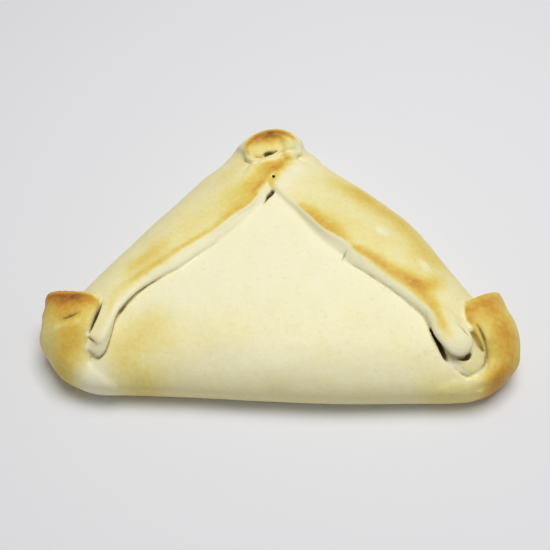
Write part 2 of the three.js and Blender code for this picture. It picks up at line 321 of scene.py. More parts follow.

# Paths in plan that a bead and a stroke share: the browned left ridge, and two bumps with painted
# highlights
LEFT_RIDGE = [
    (-44.7, -23.3), (-38.5, -18.4), (-32.3, -13.4), (-26, -8.2), (-20.8, -4.1), (-16.9, 0.3), (-13, 4),
    (-9.6, 7.2), (-6.9, 11.3),
]
UPPER_BUMP = [(34.2, -4.8), (35.6, -5.8)]
LOWER_BUMP = [(47.4, -17.6), (48.4, -19.4)]

# Low beads and bumps on the plies: a path in plan, over which lengths its two ends are rounded off,
# and the width and height along it
BEADS = {
    "left hem": (
        [(-54.1, -32.3), (-50.8, -27.8), *LEFT_RIDGE],
        (8.0, 10.0),
        [1.6, 2, 2.2, 2, 1.8, 2, 2.2],
        [0.3, 0.45, 0.5, 0.4, 0.35, 0.4, 0.3],
    ),
    "left flap fold": (
        [(-7.6, 26.6), (-9, 24.4), (-10.3, 21.2), (-12, 17.8)],
        (1.5, 4.0),
        [1.6, 2, 2, 1.8],
        [0.8, 1, 0.8, 0.4],
    ),
    "right tip hem": (
        [(61.2, -41.4), (63.1, -44.2), (64.5, -46.3), (65.2, -48.1)],
        (2.5, 2.0),
        [1.4],
        [0.45],
    ),
    "right flap upper bump": (UPPER_BUMP, (1.4, 1.4), [2.4], [0.6]),
    "right flap lower bump": (LOWER_BUMP, (1.4, 1.4), [2.4], [0.6]),
    "front flake": ([(62, -58.5), (63.8, -58.3)], (0.6, 0.6), [0.9], [0.5]),
}

# Softness of the joins between pieces, and places in plan where they melt into each other: the
# middle, the radius and the softness there, which holds over the share MELT_CORE of the radius
PLY_SOFTNESS = 0.5
HOLLOW_SOFTNESS = 0.8
BEAD_SOFTNESS = 1.0
MELT_CORE = 0.3
MELTS = {
    "left corner": ((-57, -59), 12.0, 3.0),
    "right tongue root": ((53, -37), 9.0, 3.0),
    "inside right tip": ((62, -42), 6.0, 1.6),
    "right corner": ((60, -61), 8.0, 2.0),
    "left of apex": ((-15, 37), 9.0, 4.0),
    "right of apex": ((10.5, 38), 8.0, 3.5),
    "crossing of the flaps": ((0, 20), 9.0, 3.0),
    "start of right tip": ((53, -57), 6.0, 2.5),
    "left tongue end": ((-59.8, -46.6), 4.0, 1.6),
    "hood lip end": ((-1, 28.4), 6.0, 2.0),
    "below apex": ((5, 29), 8.0, 3.0),
}

# Unevenness of the surface: wavelength and height of each kind of swelling, how near the skin they
# are worked out, and the levels between which they set in
SWELLINGS = [(26.0, 0.4), (9.0, 0.22), (3.6, 0.08)]
SWELL_DEPTH = 1.76
SWELL_START = (1.0, 6.0)
SEED = 7

# How far the dough is baked all over and on its flaps, from 0 for raw to 1 for dark brown, and the
# groups of pieces that are browned together
RAW_BAKE = 0.08
FLAP_BAKE = 0.1
FLAPS = ("left over", "right over", "right tongue", "right flap top")
LEFT_TIP = ("left tip", "body")
RIGHT_TIP = ("right tip", "body")
HOOD = ("apex tip", "hood lip")
PANEL = ("body", "left tip", "right tip")
UNDER_PLIES = ("left under", "right under")
LEFT_PLIES = ("left over", "left under")
TONGUE = ("right tongue",)

# How browning fades across the border of a group, and on a flap's lip by the way that it faces
PIECE_EDGE = (-0.4, 0.8)
LIP_FADE = (-0.55, -0.15)

# How shade sets in with depth in a gap, and on the plies below the tongues, outside of FOLD_START
SEAM_FADE = (0.15, 1.2)
FOLD_SHADE = 0.2
FOLD_START = (48.0, 54.0)

# How sharp a crease is where its line of painted shade sets in, and how that line is broken up along its
# way
CREASE_BEND = (0.5, 2.0)
CREASE_BREAKS = 7.0
CREASE_BREAK_FADE = (-0.6, 0.6)

# Strokes of browning, a few of which paint highlights, light or shade instead: the pieces that one
# lies on, its path in plan, and its half width and bake along that, evenly spaced
STROKES = {
    "left ridge": (
        FLAPS,
        [(-53, -39), (-52.6, -32), (-49.8, -27.6), *LEFT_RIDGE, (-4.8, 15.7)],
        [1, 1.4, 1.6, 1.6, 1.6, 1.8, 2.2, 2.4],
        [0.04, 0.14, 0.2, 0.18, 0.18, 0.2, 0.2, 0.2],
    ),
    "left crest": (
        FLAPS,
        [(-6.9, 11.3), (-4.6, 16), (-2.2, 21), (0.4, 25.6), (2.6, 29.2)],
        [2.6],
        [0.22, 0.42, 0.5, 0.48, 0.38],
    ),
    "left flap gold": (
        FLAPS,
        [(-18, 1.4), (-14.4, 4.7), (-11, 8.3), (-8.3, 12.7)],
        [3, 3.6, 3.6, 3],
        [0.08, 0.18, 0.22, 0.16],
    ),
    "left flap": (
        FLAPS,
        [(-46.4, -20.7), (-37.5, -10.9), (-28.1, -2.6), (-18.2, 8.3), (-11.4, 15.2)],
        [4, 5.5, 5.5, 5, 4],
        [0.09, 0.07, 0.06, 0.1, 0.14],
    ),
    "left crest shade": (
        LEFT_PLIES,
        [(-4.2, 26.6), (-6.2, 22.6), (-8.2, 18.4), (-10.4, 14)],
        [2.6],
        [0.24, 0.3, 0.22, 0.1],
    ),
    # Painted shade: a little bake that darkens the left flank beside the hood
    "apex left shade": (FLAPS, [(-19, 22), (-15, 26), (-12.6, 30)], [4], [0.06]),
    "left flap patch": (
        FLAPS,
        [(-47.8, -18.8), (-44.8, -16.7), (-41.6, -13.5), (-39.2, -11.6)],
        [2.8],
        [0.08, 0.12, 0.08],
    ),
    "right upper ridge": (
        FLAPS,
        [(8.6, 4.9), (11.5, 0.9), (14.8, -3.2), (17.7, -6.7), (20.3, -9.8)],
        [2.2, 3.4, 4, 4, 3.2],
        [0.18, 0.32, 0.36, 0.38, 0.32],
    ),
    "right ridge": (
        FLAPS,
        [
            (22.7, -13.7), (25.5, -14.4), (28.7, -16.2), (31.8, -18.5), (34.9, -21), (37.9, -23.3),
            (41, -25.5), (44, -28.4), (46.6, -31.5), (48.5, -34.5), (49.7, -39.5), (51.3, -42.9),
        ],
        [1.6, 2.2, 2.6, 2.8, 3, 3, 2.6, 2, 1.4],
        [0.38, 0.34, 0.34, 0.34, 0.34, 0.34, 0.32, 0.24, 0.1],
    ),
    "right patch": (
        FLAPS,
        [(41.8, -24.3), (45.5, -26.8), (49.5, -26.5), (52.6, -23.9)],
        [2.8],
        [0.1, 0.2, 0.24, 0.14],
    ),
    "right tongue": (
        TONGUE,
        [(49.2, -39.4), (51, -42.6), (52.4, -45.2), (54, -47.4)],
        [2],
        [0.06, 0.18, 0.14, 0.04],
    ),
    "right tongue lobe": (TONGUE, [(55, -44.5), (57.4, -47.6)], [4], [-0.06]),
    # Painted highlights: paler spots on the two bumps and along the right flap's upper ridge
    "right flap upper highlight": (FLAPS, UPPER_BUMP, [1.6], [-0.12]),
    "right flap lower highlight": (FLAPS, LOWER_BUMP, [1.8], [-0.14]),
    "right flap painted highlight": (FLAPS, [(7, 24.6), (4.6, 20.6), (2, 17), (-0.4, 14.2)], [3], [-0.08]),
    "right flap back": (
        FLAPS,
        [(21, 22), (28, 16.8), (34.6, 11), (40.6, 5), (46, -3), (51.4, -13)],
        [6],
        [0.14, 0.28, 0.26, 0.22, 0.22, 0.22],
    ),
    "right flap": (
        FLAPS,
        [(11.7, 9.1), (21, 0.7), (30.5, -8.1), (40.2, -14.3), (47.8, -20.8)],
        [6],
        [0.04, 0.06, 0.06, 0.06, 0.06],
    ),
    "left tip top": (LEFT_TIP, [(-77, -25), (-65.2, -29.4), (-57, -32)], [5], [0.4, 0.46, 0.38]),
    "left tip": (
        LEFT_TIP,
        [(-68, -30), (-67, -40.4), (-66.8, -46.4), (-69, -53)],
        [9, 7.4, 5.6],
        [0.4, 0.38, 0.36],
    ),
    "left tip middle": (LEFT_TIP, [(-63, -40), (-63, -46)], [4], [0.1]),
    "left tip side": (LEFT_TIP, [(-78, -27), (-80, -40), (-77, -52)], [5], [0.24, 0.26, 0.16]),
    # Painted highlight: a pale line below the left tab's crease
    "left tip painted highlight": (LEFT_TIP, [(-70, -40.6), (-66.5, -40.4), (-63, -40)], [1.2], [-0.14]),
    # Painted light: a paler patch on the left front corner
    "left corner painted light": (PANEL, [(-57, -53), (-54, -56.4), (-51, -58)], [3.8], [-0.08]),
    # Painted highlight: a pale line along the left tab's top rim
    "left tip rim highlight": (
        LEFT_TIP,
        [(-73.7, -26.7), (-67.3, -27.8), (-60.5, -28.6), (-58, -30.4)],
        [0.7],
        [-0.34],
    ),
    "right tip top": (RIGHT_TIP, [(58, -34), (66.4, -30.3), (76, -25)], [5], [0.14, 0.16, 0.24]),
    "right tip lip": (
        RIGHT_TIP,
        [(60.3, -36), (61.2, -41), (64.4, -48)],
        [2.6, 2, 1.4],
        [0.28, 0.24, 0.1],
    ),
    "right tip": (
        RIGHT_TIP,
        [(68, -33), (71.4, -42), (72.4, -49), (69, -56)],
        [8.5, 8.5, 5.5],
        [0.44, 0.5, 0.5],
    ),
    "apex rim": (
        HOOD,
        [(-11, 31.6), (-10.8, 34.4), (-7.8, 37.6), (-3.2, 39.4), (1.6, 40), (5, 38.8)],
        [1, 1.8, 2.4, 2.6, 2.4, 1.6],
        [0.2, 0.54, 0.68, 0.72, 0.64, 0.4],
    ),
    "apex face": (HOOD, [(-8, 32), (-2.9, 34.5), (2.3, 35.5)], [4], [0.2]),
    "hood lip": (HOOD, [(-10.6, 29.4), (-6.2, 28.4), (0.4, 30.8)], [2], [0.12]),
    "apex back": (HOOD, [(-9, 46), (0, 49), (8, 45)], [5], [0.09]),
    # Painted shade: a little bake on the under plies in the folds below the tongues
    "left fold": (UNDER_PLIES, [(-58, -46), (-54, -45)], [4], [0.08]),
    "right fold": (UNDER_PLIES, [(56, -52), (60, -53), (63, -49), (61, -44)], [4], [0.16]),
    "front band": (
        PANEL,
        [(-46, -51), (-38, -49), (-15, -43), (10, -43), (40, -49), (54, -58)],
        [9, 11, 12, 12, 9],
        [0.04, 0.08, 0.06, 0.06, 0.07],
    ),
    "front left": (PANEL, [(-42, -42), (-46, -48), (-44, -54)], [9], [0.18, 0.2, 0.15]),
    "front right": (
        PANEL,
        [(44, -58.4), (50.3, -58.6), (56.5, -59), (62.9, -58.6), (68, -56.4)],
        [4],
        [0.02, 0.06, 0.08, 0.1, 0.08],
    ),
    "front roll": (PANEL, [(-50, -60), (0, -61), (58, -64)], [5], [0.1]),
}

# Grid that the dough is worked out on: its spacing, and in steps of that the band of known
# distances on either side of a skin, the grid's lowest corner and its size
VOXEL = 0.44
BAND = 12
GRID_LOW = np.array([-194, -148, -8])
GRID_SHAPE = (388, 296, 88)

# Fineness of the shells that the pieces are drawn with, and of the final mesh
CURVE_STEPS = 60
BODY_SIDES = 240
RING_STEPS = 16
TOP_STEPS = 2 * RING_STEPS
PLY_SPACING = 0.8
LIP_STEPS = 14
SPAN_STEPS = 26
SEAM_SPACING = 0.4
SEAM_SIDES = 14
STROKE_SPACING = 1.0
LEAST_SIZE = 0.06
SEARCH_STEPS = 40
SMOOTHING_STEPS = 2
SMOOTHING = 0.5
MOST_TRIANGLES = 190000


def smoothstep(value, start, end):
    share = np.clip((value - start) / (end - start), 0, 1)
    return share * share * (3 - 2 * share)


def lerp(start, end, share):
    return start + (end - start) * share


def unit(degrees):
    return np.stack([np.cos(np.radians(degrees)), np.sin(np.radians(degrees))], -1)


def along(values, share):
    """Values at shares of the way along a list of evenly spaced values."""
    values = np.asarray(values, float)
    place = np.asarray(share, float) * (len(values) - 1)
    index = np.minimum(place.astype(int), len(values) - 1)
    following = np.minimum(index + 1, len(values) - 1)
    return lerp(values[index], values[following], smoothstep(place - index, 0, 1))


def curve(knots, spacing):
    """Points along a smooth curve through the knots, their tangents and shares, and its length."""
    knots = np.asarray(knots, float)
    padded = np.vstack([2 * knots[0] - knots[1], knots, 2 * knots[-1] - knots[-2]])
    share = np.linspace(0, 1, CURVE_STEPS, endpoint=False)[:, None]
    pieces = []
    for before, start, end, after in zip(padded, padded[1:], padded[2:], padded[3:]):
        chord = end - start
        sides = (start - before, chord, after - end)
        first, step, last = (math.sqrt(np.linalg.norm(side)) for side in sides)
        leaving = (start - before) / first - (end - before) / (first + step) + chord / step
        arriving = chord / step - (after - start) / (step + last) + (after - end) / last
        line = start + leaving * step * share
        square = 3 * chord - (2 * leaving + arriving) * step
        cube = -2 * chord + (leaving + arriving) * step
        pieces.append(line + square * share**2 + cube * share**3)
    dense = np.vstack(pieces + [knots[-1:]])
    lengths = np.concatenate([[0], np.cumsum(np.linalg.norm(np.diff(dense, axis=0), axis=1))])
    count = max(2, math.ceil(lengths[-1] / spacing) + 1)
    at = np.linspace(0, lengths[-1], count)
    points = np.stack([np.interp(at, lengths, column) for column in dense.T], -1)
    tangents = np.gradient(points, axis=0)
    tangents /= np.linalg.norm(tangents, axis=1, keepdims=True)
    return points, tangents, at / lengths[-1], lengths[-1]


def inset(x, y):
    """How far plan points lie inside the outline."""
    total = 0
    for facing, reach, bow, middle, half in OUTLINE.values():
        ox, oy = unit(facing)
        place = np.clip((y * ox - x * oy - middle) / half, -1, 1)
        bowed = reach + bow / 2 * (1 + np.cos(math.pi * place))
        total = total + np.exp((x * ox + y * oy - bowed) / OUTLINE_SOFTNESS)
    return -OUTLINE_SOFTNESS * np.log(total)


def body_height(x, y):
    """Height of the filled body's top."""
    depth = np.maximum(0, inset(x, y))
    roll = np.minimum(depth / EDGE_ROLL, 1)
    dome = np.minimum(depth / DOME_REACH, 1)
    corner = CORNER_DROP * np.minimum(1, np.abs(x) / BODY_HALF_WIDTH) ** CORNER_POWER
    apex = APEX_DROP * smoothstep(y, APEX_DROP_START, APEX_END)
    rise = SHOULDER_RISE * np.sqrt(1 - (1 - roll) ** EDGE_ROLL_POWER) + DOME_RISE * dome * (2 - dome)
    return WIDEST_LEVEL + rise * (1 - corner - apex)


def distance_to_outline(start, direction):
    """Distance from plan points to the outline, along directions."""
    inside = np.zeros(len(start))
    outside = np.full(len(start), 2 * BODY_HALF_WIDTH)
    for _ in range(SEARCH_STEPS):
        middle = (inside + outside) / 2
        x, y = (start + direction * middle[:, None]).T
        within = inset(x, y) > 0
        inside = np.where(within, middle, inside)
        outside = np.where(within, outside, middle)
    return inside


def body_rings():
    """Rings of the filled body from its flat base up over the rolled edge to the domed top."""
    turn = np.linspace(0, 2 * math.pi, BODY_SIDES, endpoint=False)
    direction = np.stack([np.cos(turn), np.sin(turn)], -1)
    centre = np.array(BODY_CENTRE)
    reach = distance_to_outline(np.tile(centre, (BODY_SIDES, 1)), direction)
    quarters = np.linspace(0, 1, RING_STEPS) * math.pi / 2
    rings = []
    for quarter in quarters:
        plan = centre + direction * (reach - UNDER_ROLL * (1 - math.sin(quarter)))[:, None]
        level = WIDEST_LEVEL * (1 - math.cos(quarter))
        rings.append(np.column_stack([plan, np.full(BODY_SIDES, level)]))
    distances = [reach - EDGE_ROLL * (1 - math.cos(quarter)) for quarter in quarters[1:]]
    distances += [(reach - EDGE_ROLL) * (1 - share) for share in np.linspace(0, 1, TOP_STEPS)[1:-1]]
    for distance in distances:
        plan = centre + direction * distance[:, None]
        rings.append(np.column_stack([plan, body_height(*plan.T)]))
    return np.array(rings)


def emerged(length, sink):
    """Share by which a ply stands proud at lengths from one of its ends."""
    return smoothstep(length, 0, sink) if sink > 0 else np.ones_like(length)


def ply_rings(edge, facing, sink, **lists):
    """Sections of a ply: hidden foot, lip of the free edge, top out to the widest point, underside."""
    start, tangent, share, length = curve(edge, PLY_SPACING)
    direction = unit(along(facing, share))
    shape = {name: along(values, share)[:, None] for name, values in {**PLY_DEFAULTS, **lists}.items()}
    proud = (emerged(share * length, sink[0]) * emerged((1 - share) * length, sink[1]))[:, None]
    reach = distance_to_outline(start, direction)[:, None]
    slant = np.abs(tangent[:, 0] * direction[:, 1] - tangent[:, 1] * direction[:, 0])[:, None]
    lip = np.minimum(shape["lip"] / np.maximum(LIP_SLANT, slant), reach * LIP_SHARE)
    outer = reach + lerp(BURIED, shape["out"], proud)

    def top(q):
        return body_height(start[:, :1] + direction[:, :1] * q, start[:, 1:] + direction[:, 1:] * q)

    turn = np.linspace(-math.pi / 2, math.pi / 2, LIP_STEPS)
    lip_q = lip * (1 - np.cos(turn)) ** shape["nose"]
    lip_rise = lerp(shape["gap"], shape["rise"], (1 + np.sin(turn)) / 2)
    lip_z = top(lip_q) + lerp(BURIED, lip_rise, proud)
    turn = np.linspace(0, math.pi / 2, SPAN_STEPS)[1:]
    span_q = lerp(lip, outer, np.sin(turn))
    free = lerp(shape["widest"], top(lip) + shape["rise"], np.cos(turn) ** shape["fullness"])
    covering = np.where(span_q < reach, top(span_q) + shape["least"], free)
    span_z = lerp(top(span_q) + BURIED, np.maximum(free, covering), proud)
    turn = np.linspace(0, math.pi / 2, RING_STEPS)[1:]
    under_q = outer - UNDER_ROLL * (1 - np.cos(turn))
    under_z = lerp(shape["widest"], shape["floor"], np.sin(turn))
    q = np.hstack([lip, lip, lip_q, span_q, under_q])
    z = np.hstack([shape["widest"], top(lip) + BURIED, lip_z, span_z, under_z])
    plan = start[:, None, :] + direction[:, None, :] * q[:, :, None]
    return np.concatenate([plan, z[:, :, None]], -1)


def rounded(length, radius):
    """Share of its full size that a round end has at lengths from its tip."""
    return np.sqrt(1 - np.clip(1 - length / radius, 0, 1) ** 2)


def oval_rings(path, width, height, ends=None):
    """An upright oval of changing width and half height, moved along its path."""
    middle, tangent, share, length = curve(path, SEAM_SPACING)
    across = np.column_stack([tangent[:, 1], -tangent[:, 0], np.zeros(len(share))])
    across /= np.linalg.norm(across, axis=1, keepdims=True)
    size = np.ones(len(share))
    if ends:
        size = rounded(share * length, ends[0]) * rounded((1 - share) * length, ends[1])
    size = np.maximum(size, LEAST_SIZE)
    half_width = (along(width, share) * size)[:, None, None] / 2
    half_height = (along(height, share) * size)[:, None, None]
    turn = np.linspace(0, 2 * math.pi, SEAM_SIDES, endpoint=False)[None, :, None]
    rings = middle[:, None, :] + across[:, None, :] * np.cos(turn) * half_width
    rings[:, :, 2:] += np.sin(turn) * half_height
    return rings


def roll_rings(path, ends, width, half_height, lift):
    """A roll of dough laid along a path on the body."""
    middle, _, share, _ = curve(path, SEAM_SPACING)
    level = body_height(*middle.T) + along(lift, share)
    return oval_rings(np.column_stack([middle, level]), width, half_height, ends)


def laid_on(field, path):
    """A path in plan laid on the top of a field; a path with heights stays as it is."""
    path = np.array(path, float)
    if path.shape[1] == 3:
        return path
    x, y = np.round(path / VOXEL - GRID_LOW[:2]).astype(int).T
    levels = GRID_SHAPE[2] - 1 - (field[x, y, ::-1] < 0).argmax(1)
    return np.column_stack([path, (levels + GRID_LOW[2]) * VOXEL])


def field_of(rings):
    """Signed distances to the closed skin over a row of rings, on the grid."""
    rows, count = rings.shape[:2]
    hubs = np.stack([rings[0].mean(0), rings[-1].mean(0)])
    points = np.vstack([rings.reshape(-1, 3), hubs]).astype(np.float32)
    index = np.arange(rows * count).reshape(rows, count)
    following = np.roll(index, -1, axis=1)
    quads = np.stack([index[:-1], following[:-1], following[1:], index[1:]], -1).reshape(-1, 4)
    first = np.stack([following[0], index[0], np.full(count, rows * count)], -1)
    last = np.stack([index[-1], following[-1], np.full(count, rows * count + 1)], -1)
    grid = openvdb.FloatGrid.createLevelSetFromPolygons(
        points,
        triangles=np.vstack([first, last]).astype(np.uint32),
        quads=quads.astype(np.uint32),
        transform=openvdb.createLinearTransform(VOXEL),
        halfWidth=BAND,
    )
    field = np.empty(GRID_SHAPE, np.float32)
    grid.copyToArray(field, tuple(int(low) for low in GRID_LOW))
    return field


def melted(one, other, softness):
    """Union of two fields with the crease between them softened."""
    share = np.clip(0.5 + 0.5 * (other - one) / softness, 0, 1)
    return lerp(other, one, share) - softness * share * (1 - share)


def blended(values, cell, share):
    """Values inside grid cells, blended from those at the eight corners of each."""
    total = np.zeros(len(cell))
    for corner in np.ndindex(2, 2, 2):
        weight = np.prod(np.where(corner, share, 1 - share), axis=1)
        total += weight * values[tuple((cell + corner).T)]
    return total


def lattice_noise(points, wavelength, seed):
    """Smooth random values from -1 to 1 at points, the same on every run."""
    place = points / wavelength
    low = np.floor(place.min(0)).astype(int)
    place = place - low
    cell = np.floor(place).astype(int)
    lattice = np.random.default_rng(seed).uniform(-1, 1, cell.max(0) + 2)
    return blended(lattice, cell, smoothstep(place - cell, 0, 1))


def grid_axes():
    return [(low + np.arange(count)) * VOXEL for low, count in zip(GRID_LOW, GRID_SHAPE)]


def piece_fields():
    """The fields of the body, of the plies with their hollows, and of the rolls."""
    fields = {"body": field_of(body_rings())}
    fields.update({name: field_of(ply_rings(**ply)) for name, ply in PLIES.items()})
    for ply, path, *sizes in HOLLOWS.values():
        hollow = field_of(oval_rings(np.array(path), *sizes))
        fields[ply] = -melted(-fields[ply], hollow, HOLLOW_SOFTNESS)
    fields.update({name: field_of(roll_rings(*roll)) for name, roll in ROLLS.items()})
    return fields


def melt_softness():
    """How softly pieces are joined at each place in plan."""
    xs, ys, _ = grid_axes()
    softness = np.full(GRID_SHAPE[:2] + (1,), PLY_SOFTNESS, np.float32)
    for (x, y), radius, most in MELTS.values():
        distance = np.hypot(xs[:, None] - x, ys[None, :] - y)[:, :, None]
        melt = most * (1 - smoothstep(distance, MELT_CORE * radius, radius))
        softness = np.maximum(softness, melt)
    return softness


def swollen(field):
    """A field whose skin is made uneven, more so away from its base."""
    near = np.argwhere(np.abs(field) < SWELL_DEPTH)
    points = (near + GRID_LOW) * VOXEL
    swell = np.zeros(len(points))
    for number, (wavelength, height) in enumerate(SWELLINGS):
        swell += height * lattice_noise(points, wavelength, SEED + number)
    field = field.copy()
    field[tuple(near.T)] -= swell * smoothstep(points[:, 2], *SWELL_START)
    return field


def dough_fields():
    """The field of the whole dough, its field before the seams are cut, and those of its pieces."""
    fields = piece_fields()
    softness = melt_softness()
    whole = fields["body"]
    for name in (*PLIES, *ROLLS):
        whole = melted(whole, fields[name], softness)
    for path, ends, *sizes in BEADS.values():
        bead = field_of(oval_rings(laid_on(whole, path), *sizes, ends))
        whole = melted(whole, bead, BEAD_SOFTNESS)
    uncut = swollen(whole)
    whole = uncut
    for path, *sizes in SEAMS.values():
        seam = field_of(oval_rings(laid_on(uncut, path), *sizes))
        whole = -melted(-whole, seam, PLY_SOFTNESS)
    base = -grid_axes()[2]
    return np.maximum(whole, base), uncut, fields


def skin(field):
    """Points and quads of the surface where a field is nought."""
    grid = openvdb.FloatGrid(BAND * VOXEL)
    grid.copyFromArray(field.astype(np.float32), tuple(int(low) for low in GRID_LOW))
    grid.transform = openvdb.createLinearTransform(VOXEL)
    points, quads = grid.convertToQuads(0.0)
    return points.astype(float), quads.astype(int)


def neighbours_mean(points, quads):
    """Mean of the points that each point is joined to."""
    edges = np.vstack([quads[:, [i, (i + 1) % 4]] for i in range(4)])
    count = np.bincount(edges.ravel(), minlength=len(points))[:, None]
    total = np.zeros_like(points)
    for axis in range(3):
        total[:, axis] = np.bincount(edges[:, 0], points[edges[:, 1], axis], len(points))
        total[:, axis] += np.bincount(edges[:, 1], points[edges[:, 0], axis], len(points))
    return total / count


def smoothed(points, quads):
    """Points with the stepping of the grid smoothed out, and the base still flat."""
    for _ in range(SMOOTHING_STEPS):
        points = lerp(points, neighbours_mean(points, quads), SMOOTHING)
    points[:, 2] = np.maximum(points[:, 2], 0)
    return points


def sampled(field, points):
    """Values of a field at points between its grid points."""
    place = points / VOXEL - GRID_LOW
    cell = np.floor(place).astype(int)
    return blended(field, cell, place - cell)


def thinned(points, quads):
    """The dough object, with fewer faces where its skin is flat."""
    mesh = bpy.data.meshes.new("empanada_dough")
    mesh.from_pydata(((points - (*PLAN_MIDDLE, 0)) * MM).tolist(), [], quads.tolist())
    dough = bpy.data.objects.new("empanada_dough", mesh)
    bpy.context.scene.collection.objects.link(dough)
    thinning = dough.modifiers.new("thinning", "DECIMATE")
    thinning.ratio = MOST_TRIANGLES / (2 * len(quads))
    fine = dough.evaluated_get(bpy.context.evaluated_depsgraph_get())
    dough.data = bpy.data.meshes.new_from_object(fine)
    dough.modifiers.clear()
    dough.data.shade_smooth()
    return dough


def stroke_bake(points, path, half_width, bake):
    """Bake that one stroke gives each point, fading out across the stroke and past its ends."""
    centre, _, share, _ = curve(path, STROKE_SPACING)
    plan = points[:, None, :2] - centre[None, :, :]
    distance = np.hypot(plan[:, :, 0], plan[:, :, 1]) / along(half_width, share)
    nearest = distance.argmin(1)
    return along(bake, share)[nearest] * np.exp(-(distance.min(1) ** 2))


def belonging(points, fields, pieces):
    """Share by which each point lies on the skin of the named pieces."""
    own = np.min([sampled(fields[name], points) for name in pieces], axis=0)
    other = np.min([sampled(field, points) for name, field in fields.items() if name not in pieces], axis=0)
    return smoothstep(other - own, *PIECE_EDGE)


def baked(points, normals, fields):
    """How far each point is baked, with the strokes that paint highlights, light and shade added in."""
    baked_together = {stroke[0] for stroke in STROKES.values()}
    shares = {pieces: belonging(points, fields, pieces) for pieces in baked_together}
    facing = np.where(points[:, :1] < 0, unit(LEFT_FACING), unit(RIGHT_FACING))
    shares[FLAPS] = shares[FLAPS] * smoothstep((normals[:, :2] * facing).sum(1), *LIP_FADE)
    bake = RAW_BAKE + FLAP_BAKE * shares[FLAPS]
    for pieces, path, half_width, strength in STROKES.values():
        bake = bake + shares[pieces] * stroke_bake(points, path, half_width, strength)
    return np.clip(bake, 0, 1)


def crease_shading(field, points):
    """How far each point lies in a sharp crease between plies, where shade is painted."""
    bend = -6 * field
    for axis in range(3):
        bend += np.roll(field, 1, axis) + np.roll(field, -1, axis)
    broken = smoothstep(lattice_noise(points, CREASE_BREAKS, SEED), *CREASE_BREAK_FADE)
    return broken * smoothstep(-sampled(bend, points) / VOXEL**2, *CREASE_BEND)


def write_attribute(mesh, name, values):
    attribute = mesh.attributes.new(name, "FLOAT", "POINT")
    attribute.data.foreach_set("value", values.astype(np.float32))


def empanada():
    """The dough object, with its bake, the painted shade of its gaps and below the tongues, and its creases
    for painted shade, at each point.
    """
    field, uncut, fields = dough_fields()
    points, quads = skin(field)
    dough = thinned(smoothed(points, quads), quads)
    mesh = dough.data
    points = np.array([vertex.co for vertex in mesh.vertices]) / MM + (*PLAN_MIDDLE, 0)
    normals = np.array([vertex.normal for vertex in mesh.vertices])
    write_attribute(mesh, "bake", baked(points, normals, fields))
    # Painted shade: darker with depth into a gap, and on the under plies below the tongues
    depth = smoothstep(-sampled(uncut, points), *SEAM_FADE)
    folded = belonging(points, fields, UNDER_PLIES) * smoothstep(np.abs(points[:, 0]), *FOLD_START)
    write_attribute(mesh, "depth", np.maximum(depth, FOLD_SHADE * folded))
    # Painted shade in the sharp creases between plies
    write_attribute(mesh, "crease", crease_shading(field, points))
    return dough


# Colours of the crust by how far it is baked, of the painted shade in its gaps and below the tongues, and
# of its specks and the painted shade in its creases, as display colours out of 255
CRUST_COLOURS = [
    (0.0, (248, 244, 214)),
    (0.12, (244, 237, 194)),
    (0.25, (238, 224, 150)),
    (0.36, (231, 208, 112)),
    (0.46, (225, 193, 87)),
    (0.65, (208, 152, 52)),
    (0.82, (176, 116, 38)),
    (1.0, (124, 76, 28)),
]
GAP_AND_FOLD_SHADE_COLOUR = (92, 68, 30)
SPECK_AND_CREASE_SHADE_COLOUR = (150, 124, 70)

# Noises of the crust: wavelength in millimetres and detail
PATCHES = (9, 3)
GRAIN = (1.6, 5)
SPECKS = (1.5, 2)
SHEEN = (5, 4)
PORES = (0.8, 3)
DIMPLES = (3.5, 2)
NOISE_RANGE = (0.25, 0.75)
EITHER_WAY = (-0.5, 0.5)

# How far patches and grain change the bake, in shares that grow with it
PATCH_BAKE = 0.1
GRAIN_BAKE = 0.12
RAW_UNEVENNESS = 0.3
BAKED_UNEVENNESS = 1.6

# Strength of the specks and of the painted shade in creases, and finish of the surface, with depths in
# millimetres
SPECK_START = 0.62
SPECK_STRENGTH = 0.9
CREASE_SHADE_STRENGTH = 0.7
ROUGHNESS = (0.42, 0.58)
SPECULAR = 0.3
PORE_DEPTH = 0.1
PORE_STRENGTH = 0.6
DIMPLE_DEPTH = 0.25
DIMPLE_STRENGTH = 0.4


def linear(colour):
    """A display colour out of 255 as linear light, by the sRGB curve."""
    shares = np.array(colour) / 255
    return (*np.where(shares < 0.04045, shares / 12.92, ((shares + 0.055) / 1.055) ** 2.4), 1)


